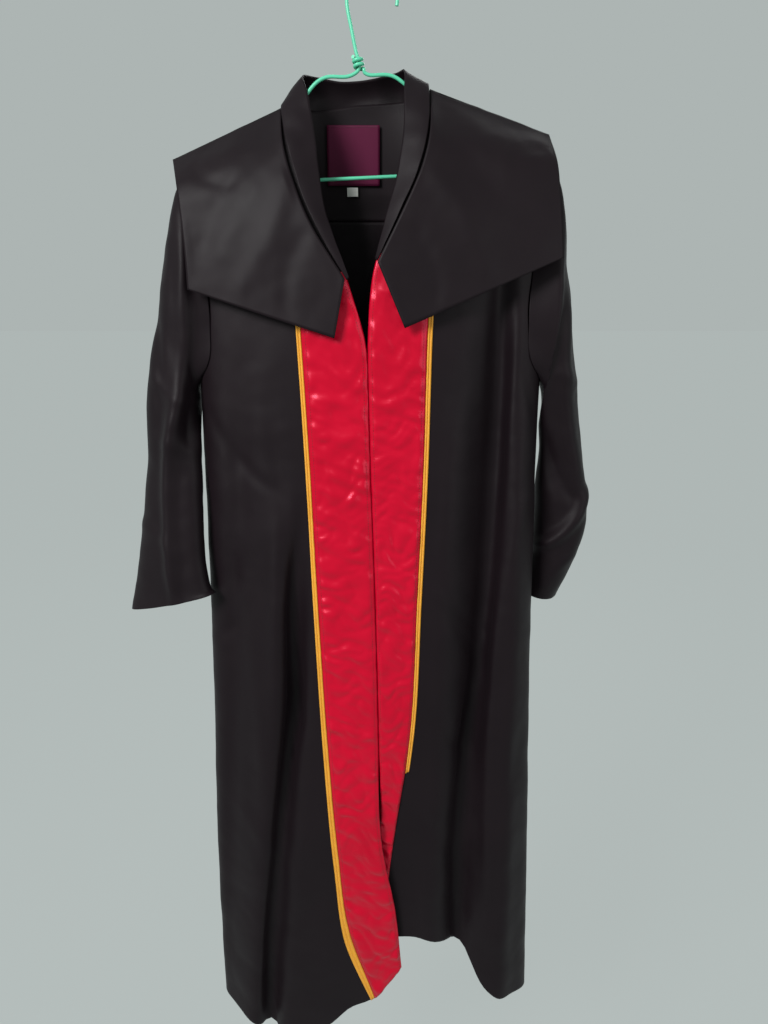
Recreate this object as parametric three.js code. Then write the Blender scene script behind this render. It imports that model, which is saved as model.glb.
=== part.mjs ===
// Graduation gown on a wire hanger. Millimetres, +Z up, the front of the gown faces -Y.
// The origin is the highest point inside the hanger's hook, where a rail or nail bears.
// Left and right are as seen from the front.
import * as THREE from 'three';

// ---- driving dimensions ----
const CLOTH = 1.2;        // wall of the gown's cloth
const TRIM = 1.0;         // wall of the satin bands
const PIPING = 1.8;       // thickness of the piping
const PIPING_WIDTH = 6;
const PATCH_INSET = 4.5;   // the label and tag hang this far inside the yoke's outer face
const COLLAR = 1.6;       // wall of the rolled collar band
const SEAM = 0.3;         // gap between neighbouring pieces
const WIRE_RADIUS = 2;
const HOOK_RADIUS = 25.5;
const ROUNDNESS = 2.4;    // exponent of the body's flattened section
const SHOULDER_DROP = 60; // how far below the shoulder line the cloth takes to reach its full depth
const YOKE_Z = -247;      // seam between yoke and back
const UNDERARM_Z = -432;
const ZIP_TOP = -395;
const ZIP_END = -925;
const OVERLAP_START = -955;
const RIGHT_PIPING_END = -945;
const PIECES = { frontColumns: 8, bandColumns: 3, frontRows: 11, backColumns: 16, backRows: 11, ring: 16 };

// half-section of the body at each height: side seams, depth to front and back, centre front line
const BODY = [
  { z: -1400, left: -233, right: 232, front: 62, back: 45, centre: 7.5 },
  { z: -1040, left: -227, right: 219, front: 62, back: 45, centre: 7.5 },
  { z: -895, left: -221, right: 213, front: 62, back: 46, centre: 6 },
  { z: -697, left: -215, right: 207, front: 62, back: 47, centre: 2 },
  { z: -430, left: -211, right: 203, front: 62, back: 48, centre: -5 },
  { z: -250, left: -214, right: 206, front: 62, back: 50, centre: -6 },
  { z: -110, left: -216, right: 206, front: 60, back: 50, centre: -8 },
];
const SHOULDER = [{ x: -216, z: -199 }, { x: -95, z: -130 }, { x: -20, z: -123 },
  { x: 58, z: -115.5 }, { x: 206, z: -186 }];

// the fronts' rails from the shoulder to the underarm: neck edge, satin band's edge, armhole
const TOP_LEFT = [
  { t: 0, inX: -92, inZ: -129, bandX: -106, outX: -212, outZ: -199 },
  { t: 0.2, inX: -82, inZ: -175, bandX: -104, outX: -203, outZ: -229 },
  { t: 0.4, inX: -66, inZ: -222, bandX: -98, outX: -195, outZ: -266 },
  { t: 0.6, inX: -46, inZ: -272, bandX: -88, outX: -190, outZ: -310 },
  { t: 0.8, inX: -23, inZ: -330, bandX: -82, outX: -188, outZ: -366 },
  { t: 0.92, inX: -7, inZ: -390, bandX: -79.5, outX: -195, outZ: -412 },
  { t: 1, inX: -5.3, inZ: -432, bandX: -78, outX: -211, outZ: -432 },
];
const TOP_RIGHT = [
  { t: 0, inX: 56, inZ: -116.5, bandX: 70, outX: 202, outZ: -186 },
  { t: 0.2, inX: 48, inZ: -162, bandX: 70, outX: 194, outZ: -218 },
  { t: 0.4, inX: 33, inZ: -212, bandX: 68, outX: 186, outZ: -258 },
  { t: 0.6, inX: 14, inZ: -265, bandX: 66, outX: 182, outZ: -304 },
  { t: 0.8, inX: -2, inZ: -328, bandX: 63, outX: 180, outZ: -362 },
  { t: 0.92, inX: -5.4, inZ: -390, bandX: 61.5, outX: 187, outZ: -410 },
  { t: 1, inX: -4.7, inZ: -432, bandX: 61, outX: 203, outZ: -432 },
];
// below the underarm: the free edge at the centre and the satin band's outer edge
const EDGE_LEFT = [{ z: -1262, x: 38 }, { z: -1151, x: 27 }, { z: -1043, x: 7.2 }, { z: -895, x: 5.7 },
  { z: -697, x: 1.7 }, { z: -507, x: -3.8 }, { z: -432, x: -5.3 }];
const EDGE_RIGHT = [{ z: -1221, x: -12 }, { z: -1151, x: -8 }, { z: -1043, x: 7.8 }, { z: -895, x: 6.3 },
  { z: -697, x: 2.3 }, { z: -507, x: -3.2 }, { z: -432, x: -4.7 }];
const BAND_LEFT = [{ z: -1317, x: 0 }, { z: -1203, x: -35.5 }, { z: -1068, x: -50 }, { z: -895, x: -61 },
  { z: -697, x: -69 }, { z: -507, x: -75 }, { z: -432, x: -78 }];
const BAND_RIGHT = [{ z: -1221, x: 12 }, { z: -1101, x: 21 }, { z: -987, x: 35 }, { z: -941, x: 41 },
  { z: -895, x: 46 }, { z: -697, x: 54 }, { z: -507, x: 60 }, { z: -432, x: 61 }];
const HEM_LEFT = [{ x: -233, z: -1366 }, { x: -215, z: -1369 }, { x: -172, z: -1391 }, { x: -135, z: -1402 },
  { x: -98, z: -1396 }, { x: -67, z: -1376 }, { x: -40, z: -1345 }, { x: 0, z: -1317 }, { x: 38, z: -1262 }];
const HEM_RIGHT = [{ x: -12, z: -1221 }, { x: 93, z: -1226 }, { x: 115, z: -1242 }, { x: 138, z: -1275 },
  { x: 155, z: -1312 }, { x: 177, z: -1334 }, { x: 202, z: -1342 }, { x: 232, z: -1352 }];
const HEM_BACK = [{ x: -233, z: -1366 }, { x: -120, z: -1330 }, { x: 40, z: -1300 }, { x: 150, z: -1318 },
  { x: 232, z: -1352 }];

// long soft folds: a line from top to low, its half width, and how far it sinks towards the inside
const FOLDS_FRONT = [
  { topX: -80, topZ: -560, lowX: -158, lowZ: -1420, half: 13, sink: 13 },
  { topX: -104, topZ: -520, lowX: -188, lowZ: -1420, half: 20, sink: -7 },
  { topX: -150, topZ: -380, lowX: -206, lowZ: -1100, half: 16, sink: 6 },
  { topX: 143, topZ: -290, lowX: 124, lowZ: -1300, half: 25, sink: 24 },
  { topX: 180, topZ: -330, lowX: 186, lowZ: -1420, half: 18, sink: -9 },
  { topX: 92, topZ: -420, lowX: 80, lowZ: -1300, half: 18, sink: -5 },
];
const FOLDS_BACK = [
  { topX: 0, topZ: -230, lowX: 4, lowZ: -1420, half: 7, sink: 7 },
  { topX: -90, topZ: -290, lowX: -112, lowZ: -1420, half: 22, sink: 13 },
  { topX: 96, topZ: -300, lowX: 84, lowZ: -1420, half: 20, sink: 12 },
  { topX: -150, topZ: -420, lowX: -172, lowZ: -1420, half: 16, sink: -6 },
  { topX: 148, topZ: -400, lowX: 170, lowZ: -1420, half: 17, sink: 8 },
];

// collar: the opening edge of the rolled band, and the seam where it meets the cape
const COLLAR_EDGE = [[-26, -66, -314], [-38, -62, -282], [-51, -52, -245], [-59, -38, -198], [-63, -24, -162],
  [-71, -6, -118], [-77, 12, -97], [-64, 33, -93], [-34, 44, -95], [0, 40, -93], [26, 26, -91], [35, 8, -93],
  [35, -14, -118], [34, -34, -164], [26, -48, -212], [15, -58, -252], [4, -66, -294]];
const COLLAR_SEAM = [[-28, -68, -316], [-52, -64, -276], [-74, -55, -232], [-88, -43, -190], [-96, -26, -160],
  [-100, -2, -130], [-92, 25, -126], [-70, 46, -126], [-34, 55, -127], [4, 53, -124], [36, 42, -118],
  [58, 21, -112], [62, -4, -111], [61, -36, -158], [50, -54, -202], [30, -64, -246], [6, -69, -296]];
// cape: rails from the shoulder fold down to the lower edge, as [x, y, z]
const CAPE_LEFT_INNER = [[-102, 0, -131], [-98, -33, -168], [-87, -51, -208], [-66, -65, -258], [-30, -73, -315],
  [-42, -78, -378]];
const CAPE_LEFT_OUTER = [[-227, 0, -184], [-216, -36, -216], [-211, -47, -250], [-208, -53, -285],
  [-207, -55, -326]];
const CAPE_RIGHT_INNER = [[64, 0, -112], [63, -42, -158], [53, -60, -200], [32, -70, -246], [6, -75, -297],
  [36, -78, -367]];
const CAPE_RIGHT_OUTER = [[199, 0, -158], [203, -36, -192], [206, -47, -226], [209, -53, -258], [212, -55, -292]];
const CAPE_BACK_INNER = [[-102, 0.4, -131], [-100, 26, -128], [-76, 49, -128], [-34, 58, -128], [6, 56.5, -126],
  [41, 45.5, -120], [62, 23, -114], [64, 0.4, -112]];
const CAPE_BACK_OUTER = [[-227, 0.4, -184], [-222, 44, -250], [-214, 55, -330], [-90, 64, -342], [60, 64, -336],
  [214, 56, -300], [210, 44, -222], [199, 0.4, -158]];

// sleeves: outer and inner edge of each ring below the armhole, and its half depth
const SLEEVE_LEFT = [
  { outer: [-229, 0, -236], inner: [-214, 0, -446], half: 38 },
  { outer: [-250, 0, -330], inner: [-214, -4, -466], half: 34 },
  { outer: [-270, 2, -430], inner: [-216, -26, -500], half: 24 },
  { outer: [-279, 4, -520], inner: [-215, -36, -560], half: 20 },
  { outer: [-297, 2, -632], inner: [-215, -42, -640], half: 20 },
  { outer: [-310, -2, -700], inner: [-209, -46, -684], half: 20 },
  { outer: [-317, -4, -730], inner: [-202, -48, -694], half: 21 },
];
const SLEEVE_RIGHT = [
  { outer: [217, 0, -226], inner: [208, 0, -446], half: 38 },
  { outer: [231, 3, -320], inner: [210, 8, -466], half: 34 },
  { outer: [245, 6, -412], inner: [211, 18, -492], half: 28 },
  { outer: [260, 10, -507], inner: [213, 26, -548], half: 24 },
  { outer: [273, 12, -590], inner: [214, 34, -604], half: 25 },
  { outer: [272, 16, -645], inner: [213, 40, -652], half: 27 },
  { outer: [244, 26, -728], inner: [206, 52, -716], half: 26 },
];

// hanger: one wire from the hook's tip round the frame to its end wound on the neck
const HANGER_FRAME = [[-14, -90], [-20, -97], [-56, -102], [-77, -121], [-100, -142], [-196, -199], [-205, -207],
  [-196, -211], [-53, -205], [40, -201], [184, -194], [192, -190], [184, -184], [60, -127], [36, -107],
  [22, -99], [-8, -96]];
const LABEL = { left: -54, right: 8, top: -141, low: -207, thick: 1.0 };
const TAG = { left: -31, right: -18, top: -209, low: -219, thick: 1.0 };

// ---- tables and small maths ----
function along(rows, key, column, at) {
  const sign = rows[rows.length - 1][key] > rows[0][key] ? 1 : -1;
  let i = 0;
  while (i < rows.length - 2 && sign * (at - rows[i + 1][key]) > 0) i += 1;
  const [a, b] = [rows[i], rows[i + 1]];
  const t = Math.min(1, Math.max(0, (at - a[key]) / (b[key] - a[key])));
  return a[column] + (b[column] - a[column]) * t;
}
function rail(points, t) {
  const place = Math.min(points.length - 1.000001, Math.max(0, t * (points.length - 1)));
  const i = Math.floor(place);
  return points[i].map((value, k) => value + (points[i + 1][k] - value) * (place - i));
}
const mix = (a, b, t) => a + (b - a) * t;
const ease = (t) => Math.min(1, Math.max(0, t));

// ---- the body's surface ----
function section(x, z) {
  const centre = along(BODY, 'z', 'centre', z);
  const side = x < centre ? along(BODY, 'z', 'left', z) : along(BODY, 'z', 'right', z);
  const across = Math.min(1, Math.abs((x - centre) / (side - centre)));
  const below = Math.max(0, along(SHOULDER, 'x', 'z', x) - z);
  return (1 - across ** ROUNDNESS) ** (1 / ROUNDNESS) * (1 - Math.exp(-below / SHOULDER_DROP));
}
function folds(table, x, z) {
  let sum = 0;
  for (const f of table) {
    const t = (z - f.topZ) / (f.lowZ - f.topZ);
    if (t <= 0) continue;
    const away = (x - mix(f.topX, f.lowX, t)) / f.half;
    sum += f.sink * Math.exp(-away * away) * Math.min(1, t * 5);
  }
  return sum;
}
// the left front passes over the right one where the zip has ended
function overlap(x, z) {
  return 5 * ease((OVERLAP_START - z) / 50) * Math.exp(-(((x - 12) / 40) ** 2));
}
function frontY(x, z, side) {
  const depth = section(x, z);
  const flat = -along(BODY, 'z', 'front', z) * depth + folds(FOLDS_FRONT, x, z) * ease(depth * 1.6);
  return Math.min(-SEAM, flat + side * overlap(x, z));
}
function backY(x, z) {
  const depth = section(x, z);
  return Math.max(SEAM, along(BODY, 'z', 'back', z) * depth - folds(FOLDS_BACK, x, z) * ease(depth * 1.6));
}

// ---- walls ----
// A grid of points is the outside face; the wall goes inwards along the grid's own normals.
function normalAt(grid, i, j, closed) {
  const rows = grid.length;
  const columns = grid[0].length;
  const wrap = (k) => (closed ? (k + columns) % columns : Math.min(columns - 1, Math.max(0, k)));
  const right = new THREE.Vector3(...grid[i][wrap(j + 1)]).sub(new THREE.Vector3(...grid[i][wrap(j - 1)]));
  const down = new THREE.Vector3(...grid[Math.min(rows - 1, i + 1)][j])
    .sub(new THREE.Vector3(...grid[Math.max(0, i - 1)][j]));
  return down.cross(right).normalize();
}
function moved(grid, distance, closed = false) {
  return grid.map((row, i) => row.map((point, j) => {
    const n = normalAt(grid, i, j, closed);
    return [point[0] + n.x * distance, point[1] + n.y * distance, point[2] + n.z * distance];
  }));
}
function wall(grid, thickness, { closed = false, keep = (p) => p } = {}) {
  const rows = grid.length;
  const columns = grid[0].length;
  const inside = moved(grid, -thickness, closed).map((row) => row.map(keep));
  const positions = [...grid.flat(), ...inside.flat()].flat();
  const layer = rows * columns;
  const at = (i, j, k) => k * layer + i * columns + (j % columns);
  const faces = [];
  const quad = (a, b, c, d) => faces.push(a, b, c, a, c, d);
  const lastColumn = closed ? columns : columns - 1;
  for (let i = 0; i < rows - 1; i += 1) {
    for (let j = 0; j < lastColumn; j += 1) {
      quad(at(i, j, 0), at(i + 1, j, 0), at(i + 1, j + 1, 0), at(i, j + 1, 0));
      quad(at(i, j, 1), at(i, j + 1, 1), at(i + 1, j + 1, 1), at(i + 1, j, 1));
    }
    if (!closed) {
      quad(at(i, 0, 0), at(i, 0, 1), at(i + 1, 0, 1), at(i + 1, 0, 0));
      quad(at(i, columns - 1, 0), at(i + 1, columns - 1, 0), at(i + 1, columns - 1, 1), at(i, columns - 1, 1));
    }
  }
  for (let j = 0; j < lastColumn; j += 1) {
    quad(at(0, j, 0), at(0, j + 1, 0), at(0, j + 1, 1), at(0, j, 1));
    quad(at(rows - 1, j, 0), at(rows - 1, j, 1), at(rows - 1, j + 1, 1), at(rows - 1, j + 1, 0));
  }
  const geometry = new THREE.BufferGeometry();
  geometry.setAttribute('position', new THREE.Float32BufferAttribute(positions, 3));
  geometry.setIndex(faces);
  geometry.computeVertexNormals();
  return geometry;
}

// ---- fronts, with the satin bands and piping that lie on them ----
// Columns: the band's own columns from the free edge, one for the piping, then out to the side seam.
function frontGrid(side) {
  const left = side < 0;
  const top = left ? TOP_LEFT : TOP_RIGHT;
  const edge = left ? EDGE_LEFT : EDGE_RIGHT;
  const band = left ? BAND_LEFT : BAND_RIGHT;
  const hem = left ? HEM_LEFT : HEM_RIGHT;
  const grid = [];
  const topRows = top.length - 1;
  for (let i = 0; i < topRows + PIECES.frontRows; i += 1) {
    const upper = i < topRows;
    const t = upper ? top[i].t : (i - topRows) / (PIECES.frontRows - 1);
    const levelAt = (x) => mix(UNDERARM_Z, along(hem, 'x', 'z', x), t);
    const place = (x, z) => [x, frontY(x, z, side), z];
    let inner;
    let bandAt;
    let outer;
    if (upper) {
      inner = [top[i].inX, top[i].inZ];
      outer = [top[i].outX, top[i].outZ];
      bandAt = [top[i].bandX, mix(inner[1], outer[1], (top[i].bandX - inner[0]) / (outer[0] - inner[0]))];
    } else {
      inner = [0, mix(UNDERARM_Z, edge[0].z, t)];
      inner[0] = along(edge, 'z', 'x', inner[1]);
      bandAt = [0, mix(UNDERARM_Z, band[0].z, t)];
      bandAt[0] = along(band, 'z', 'x', bandAt[1]);
      const sideZ = mix(UNDERARM_Z, left ? hem[0].z : hem[hem.length - 1].z, t);
      outer = [along(BODY, 'z', left ? 'left' : 'right', sideZ), sideZ];
    }
    const row = [];
    for (let j = 0; j <= PIECES.bandColumns; j += 1) {
      const u = j / PIECES.bandColumns;
      row.push(place(mix(inner[0], bandAt[0], u), mix(inner[1], bandAt[1], u)));
    }
    for (let j = 0; j <= PIECES.frontColumns; j += 1) {
      const from = bandAt[0] + side * PIPING_WIDTH;
      const u = Math.sin((j / PIECES.frontColumns) * Math.PI / 2) ** 0.95;
      const x = mix(from, outer[0], u);
      const z = upper ? mix(bandAt[1], outer[1], (x - bandAt[0]) / (outer[0] - bandAt[0])) : levelAt(x);
      row.push(place(x, z));
    }
    grid.push(left ? row.reverse() : row);
  }
  return grid;
}
const keepFront = ([x, y, z]) => [x, Math.min(y, -SEAM / 2), z];
const keepBack = ([x, y, z]) => [x, Math.max(y, SEAM / 2), z];
const strip = (grid, from, to) => grid.map((row) => row.slice(from, to + 1));
function narrowed(grid, byFirst, byLast) {
  return grid.map((row) => {
    const copy = row.map((point) => [...point]);
    copy[0][0] += byFirst;
    copy[copy.length - 1][0] -= byLast;
    return copy;
  });
}
function bandGrid(front, side) {
  const last = front[0].length - 1;
  const piece = side < 0 ? strip(front, last - PIECES.bandColumns, last) : strip(front, 0, PIECES.bandColumns);
  const shown = moved(piece, SEAM + TRIM).slice(3);
  return side < 0 ? narrowed(shown, SEAM, 0) : narrowed(shown, 0, SEAM);
}
function pipingGrid(front, side) {
  const last = front[0].length - 1;
  const from = side < 0 ? last - PIECES.bandColumns - 1 : PIECES.bandColumns;
  const shown = moved(strip(front, from, from + 1), SEAM + PIPING).slice(3);
  return side < 0 ? shown : shown.filter((row) => row[0][2] > RIGHT_PIPING_END - 40);
}

// ---- yoke, back, zip, label ----
function yokePoint(x, v) {
  const neckMiddle = -18.5;
  const neckHalf = 74;
  const across = Math.min(1, Math.abs((x - neckMiddle) / neckHalf));
  const topY = Math.max(SEAM, 46 * (1 - across ** 3) ** (1 / 3));
  const topZ = along(SHOULDER, 'x', 'z', x) + 4 * (1 - across);
  const lowY = backY(x * 0.95, YOKE_Z);
  return [x, mix(topY, lowY, 1 - (1 - v) ** 2), mix(topZ, YOKE_Z + SEAM / 2, v)];
}
function yokeGrid() {
  const grid = [];
  for (let i = 0; i <= 5; i += 1) {
    const v = i / 5;
    const row = [];
    for (let j = 0; j <= PIECES.backColumns; j += 1) {
      const u = (1 - Math.cos((j / PIECES.backColumns) * Math.PI)) / 2;
      row.push(yokePoint(mix(mix(202, 186, v), mix(-212, -197, v), u), v));
    }
    grid.push(row);
  }
  return grid;
}
function backGrid() {
  const arm = [{ t: 0, left: -197, right: 187, z: YOKE_Z - SEAM / 2 }, { t: 0.3, left: -190, right: 182, z: -300 },
    { t: 0.6, left: -188, right: 180, z: -362 }, { t: 0.85, left: -195, right: 187, z: -411 }];
  const grid = [];
  for (let i = 0; i < arm.length + PIECES.backRows; i += 1) {
    const upper = i < arm.length;
    const t = upper ? 0 : (i - arm.length) / (PIECES.backRows - 1);
    const row = [];
    for (let j = 0; j <= PIECES.backColumns; j += 1) {
      const u = (1 - Math.cos((j / PIECES.backColumns) * Math.PI)) / 2;
      const sideZ = mix(UNDERARM_Z, -1358, t);
      const fromX = upper ? arm[i].right : along(BODY, 'z', 'right', sideZ);
      const toX = upper ? arm[i].left : along(BODY, 'z', 'left', sideZ);
      const x = mix(fromX, toX, u);
      const z = upper ? arm[i].z : mix(UNDERARM_Z, along(HEM_BACK, 'x', 'z', x), t);
      row.push([x, backY(x, z), z]);
    }
    grid.push(row);
  }
  return grid;
}
function zipGrid() {
  const grid = [];
  for (let i = 0; i <= 8; i += 1) {
    const z = mix(ZIP_TOP, ZIP_END, i / 8);
    const x = along(BODY, 'z', 'centre', z);
    grid.push([-6, 6].map((dx) => [x + dx, frontY(x + dx, z, 0) + CLOTH + 2 * SEAM + 0.3, z]));
  }
  return grid;
}
// a small patch sewn on the inside of the yoke; its outside face looks at the yoke
function patchGrid({ left, right, top, low }, inset) {
  const grid = [];
  for (let i = 0; i <= 4; i += 1) {
    const z = mix(top, low, i / 4);
    grid.push([0, 0.25, 0.5, 0.75, 1].map((u) => {
      const x = mix(right, left, u);
      const topZ = yokePoint(x, 0)[2];
      const v = (topZ - z) / (topZ - YOKE_Z);
      return [x, yokePoint(x, v)[1] - inset, z];
    }));
  }
  return grid;
}

// ---- collar and cape ----
function collarGrid() {
  const steps = 32;
  const grid = [[], [], [], []];
  for (let j = 0; j <= steps; j += 1) {
    const edge = rail(COLLAR_EDGE, j / steps);
    const seam = rail(COLLAR_SEAM, j / steps);
    grid.forEach((row, i) => {
      const v = i / 3;
      const roll = 5 * Math.sin(Math.PI * v) * Math.sin(Math.PI * j / steps);
      const outwards = new THREE.Vector3(seam[0] + 20, seam[1], 0).normalize();
      row.push([mix(edge[0], seam[0], v) + outwards.x * roll, mix(edge[1], seam[1], v) + outwards.y * roll,
        mix(edge[2], seam[2], v) + roll * 0.4]);
    });
  }
  return grid;
}
function capeFrontGrid(inner, outer) {
  const steps = 9;
  const grid = [];
  for (let i = 0; i <= steps; i += 1) {
    const v = i / steps;
    const a = rail(inner, v);
    const b = rail(outer, v);
    const row = [];
    for (let j = 0; j <= 7; j += 1) {
      const u = j / 7;
      const crown = 4 * Math.sin(Math.PI * u) * v;
      row.push([mix(a[0], b[0], u), Math.min(-SEAM, mix(a[1], b[1], u) - crown), mix(a[2], b[2], u)]);
    }
    grid.push(b[0] < a[0] ? row.reverse() : row);
  }
  return grid;
}
function capeBackGrid() {
  const steps = 21;
  const grid = [];
  for (let i = 0; i <= 5; i += 1) {
    const v = i / 5;
    const row = [];
    for (let j = 0; j <= steps; j += 1) {
      const u = 1 - j / steps;
      const a = rail(CAPE_BACK_INNER, u);
      const b = rail(CAPE_BACK_OUTER, u);
      const crown = 9 * Math.sin(Math.PI * v) * Math.min(1, Math.sin(Math.PI * u) * 3);
      row.push([mix(a[0], b[0], v), Math.max(SEAM, mix(a[1], b[1], v) + crown), mix(a[2], b[2], v)]);
    }
    grid.push(row);
  }
  return grid;
}

// ---- sleeves: rings from the armhole down to the cuff ----
function armholeRing(side) {
  const top = side < 0 ? TOP_LEFT : TOP_RIGHT;
  const [high, low] = [top[0].outZ, UNDERARM_Z];
  const ring = [];
  for (let j = 0; j < PIECES.ring; j += 1) {
    const angle = (j / PIECES.ring) * Math.PI * 2;
    const z = mix(low, high, (1 + Math.cos(angle)) / 2);
    const x = along(top, 'outZ', 'outX', z);
    const front = Math.sin(angle) > 0;
    const y = front ? frontY(x, z, 0) : backY(x, z);
    ring.push([x + side * (CLOTH + 1.6), Math.abs(Math.sin(angle)) < 0.01 ? 0 : y, z]);
  }
  return ring;
}
function sleeveGrid(side) {
  const rows = [armholeRing(side)];
  for (const { outer, inner, half } of side < 0 ? SLEEVE_LEFT : SLEEVE_RIGHT) {
    const e = new THREE.Vector3(outer[0] - inner[0], outer[1] - inner[1], outer[2] - inner[2]).multiplyScalar(0.5);
    const across = new THREE.Vector3(e.y, -e.x, 0).normalize().multiplyScalar(-Math.sign(-e.x) * half);
    const ring = [];
    for (let j = 0; j < PIECES.ring; j += 1) {
      const angle = (j / PIECES.ring) * Math.PI * 2;
      const c = Math.cos(angle);
      const s = Math.sign(Math.sin(angle)) * Math.abs(Math.sin(angle)) ** 0.85;
      ring.push([(outer[0] + inner[0]) / 2 + e.x * c + across.x * s,
        (outer[1] + inner[1]) / 2 + e.y * c + across.y * s, (outer[2] + inner[2]) / 2 + e.z * c]);
    }
    rows.push(ring);
  }
  return side < 0 ? rows.map((row) => [...row].reverse()) : rows;
}

// ---- hanger ----
function hanger() {
  const points = [];
  const hookCentre = -HOOK_RADIUS;
  for (let angle = -12; angle <= 182; angle += 14) {
    const a = THREE.MathUtils.degToRad(angle);
    points.push(new THREE.Vector3((HOOK_RADIUS + WIRE_RADIUS) * Math.cos(a), 0,
      hookCentre + (HOOK_RADIUS + WIRE_RADIUS) * Math.sin(a)));
  }
  points.push(new THREE.Vector3(-21, 0, -60), new THREE.Vector3(-17.5, 0, -76));
  for (const [x, z] of HANGER_FRAME) points.push(new THREE.Vector3(x, 0, z));
  const turns = 2.5;
  const reach = 2 * WIRE_RADIUS + 1;
  for (let k = 0; k <= turns * 8; k += 1) {
    const a = (k / 8) * Math.PI * 2;
    const z = -92 + (k / 8) * (2 * WIRE_RADIUS + 0.8);
    const x = along([{ z: -60, x: -21 }, { z: -76, x: -17.5 }, { z: -92, x: -14 }], 'z', 'x', z);
    points.push(new THREE.Vector3(x + reach * Math.cos(a), reach * Math.sin(a), z));
  }
  const path = new THREE.CatmullRomCurve3(points, false, 'centripetal');
  const ring = new THREE.Shape();
  for (let k = 0; k < 8; k += 1) {
    const a = (k / 8) * Math.PI * 2;
    const at = [WIRE_RADIUS * Math.cos(a), WIRE_RADIUS * Math.sin(a)];
    if (k === 0) ring.moveTo(...at);
    else ring.lineTo(...at);
  }
  return new THREE.ExtrudeGeometry(ring, { steps: 116, bevelEnabled: false, extrudePath: path });
}

// ---- assembly ----
const BLACK = { color: 0x1b1719, roughness: 0.62 };
const MATERIALS = {
  cloth: BLACK,
  collar: BLACK,
  satin: { color: 0xb5062a, roughness: 0.32 },
  piping: { color: 0xd99a22, roughness: 0.45 },
  label: { color: 0x4a1030, roughness: 0.6 },
  tag: { color: 0xd8d8d4, roughness: 0.6 },
  zip: { color: 0x5a0a18, roughness: 0.6 },
  wire: { color: 0x4fb48c, roughness: 0.4 },
};
const gown = new THREE.Group();
function add(name, geometry, material) {
  const mesh = new THREE.Mesh(geometry, new THREE.MeshStandardMaterial({ ...MATERIALS[material], metalness: 0 }));
  mesh.name = name;
  gown.add(mesh);
}

add('hanger', hanger(), 'wire');
for (const [name, side] of [['left', -1], ['right', 1]]) {
  const front = frontGrid(side);
  add(`front_${name}`, wall(front, CLOTH, { keep: keepFront }), 'cloth');
  add(`satin_band_${name}`, wall(bandGrid(front, side), TRIM), 'satin');
  add(`piping_${name}`, wall(pipingGrid(front, side), PIPING), 'piping');
  add(`sleeve_${name}`, wall(sleeveGrid(side), CLOTH, { closed: true }), 'cloth');
}
add('back_yoke', wall(yokeGrid(), CLOTH, { keep: keepBack }), 'cloth');
add('back', wall(backGrid(), CLOTH, { keep: keepBack }), 'cloth');
add('zip', wall(zipGrid(), 0.8), 'zip');
add('neck_label', wall(patchGrid(LABEL, PATCH_INSET), LABEL.thick), 'label');
add('size_tag', wall(patchGrid(TAG, PATCH_INSET), TAG.thick), 'tag');
add('collar_band', wall(collarGrid(), COLLAR), 'collar');
add('cape_left', wall(capeFrontGrid(CAPE_LEFT_INNER, CAPE_LEFT_OUTER), CLOTH, { keep: keepFront }), 'cloth');
add('cape_right', wall(capeFrontGrid(CAPE_RIGHT_INNER, CAPE_RIGHT_OUTER), CLOTH, { keep: keepFront }), 'cloth');
add('cape_back', wall(capeBackGrid(), CLOTH, { keep: keepBack }), 'cloth');

export default gown;
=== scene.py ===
"""Graduation gown on a wire hanger: fine cloth shells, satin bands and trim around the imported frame."""
import math

import bpy
import numpy as np
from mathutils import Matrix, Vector, noise


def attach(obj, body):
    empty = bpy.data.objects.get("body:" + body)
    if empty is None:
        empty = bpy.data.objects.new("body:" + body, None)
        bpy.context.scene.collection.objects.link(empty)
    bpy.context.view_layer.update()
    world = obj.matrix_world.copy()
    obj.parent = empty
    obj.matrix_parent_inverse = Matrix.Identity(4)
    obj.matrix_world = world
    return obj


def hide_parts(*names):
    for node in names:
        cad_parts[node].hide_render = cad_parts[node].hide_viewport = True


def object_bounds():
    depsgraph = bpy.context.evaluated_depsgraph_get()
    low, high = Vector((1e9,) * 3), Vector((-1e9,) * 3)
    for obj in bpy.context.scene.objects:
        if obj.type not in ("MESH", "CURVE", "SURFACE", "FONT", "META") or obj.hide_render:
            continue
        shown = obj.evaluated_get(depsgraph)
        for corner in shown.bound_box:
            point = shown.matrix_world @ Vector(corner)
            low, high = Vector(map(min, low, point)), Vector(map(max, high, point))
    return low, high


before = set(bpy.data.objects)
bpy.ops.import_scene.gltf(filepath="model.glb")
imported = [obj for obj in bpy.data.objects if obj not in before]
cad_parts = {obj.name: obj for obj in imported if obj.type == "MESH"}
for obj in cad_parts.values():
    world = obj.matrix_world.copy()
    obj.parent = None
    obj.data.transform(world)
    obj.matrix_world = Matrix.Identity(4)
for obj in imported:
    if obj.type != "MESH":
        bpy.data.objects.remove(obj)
CAD_BOX = [list(corner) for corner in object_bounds()]

MM = 0.001

# ---- walls, gaps and heights in millimetres ----
CLOTH = 1.2
COLLAR = 1.6
TRIM = 1.0
SATIN_WALL = 0.8
PIPING_WALL = 0.5
PATCH_WALL = 0.8
SEAM = 0.3
ARMHOLE_GAP = 0.8
PATCH_INSET = 4.5
PIPING_WIDTH = 6.0
WIRE_RADIUS = 2.0
HOOK_RADIUS = 25.5
YOKE_Z = -247.0
UNDERARM_Z = -432.0
BACK_HEM_Z = -1358
RIGHT_PIPING_END = -945.0
# the body's section: how square it is, and how far below the shoulders it fills out
ROUNDNESS = 2.4
SHOULDER_DROP = 60.0
# the fronts part below this height, the left one over the right: depth, fade, middle and half width
OVERLAP_START = -955.0
OVERLAP_DEPTH = 5
OVERLAP_FADE = 50
OVERLAP_X = 12
OVERLAP_HALF = 40
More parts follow.
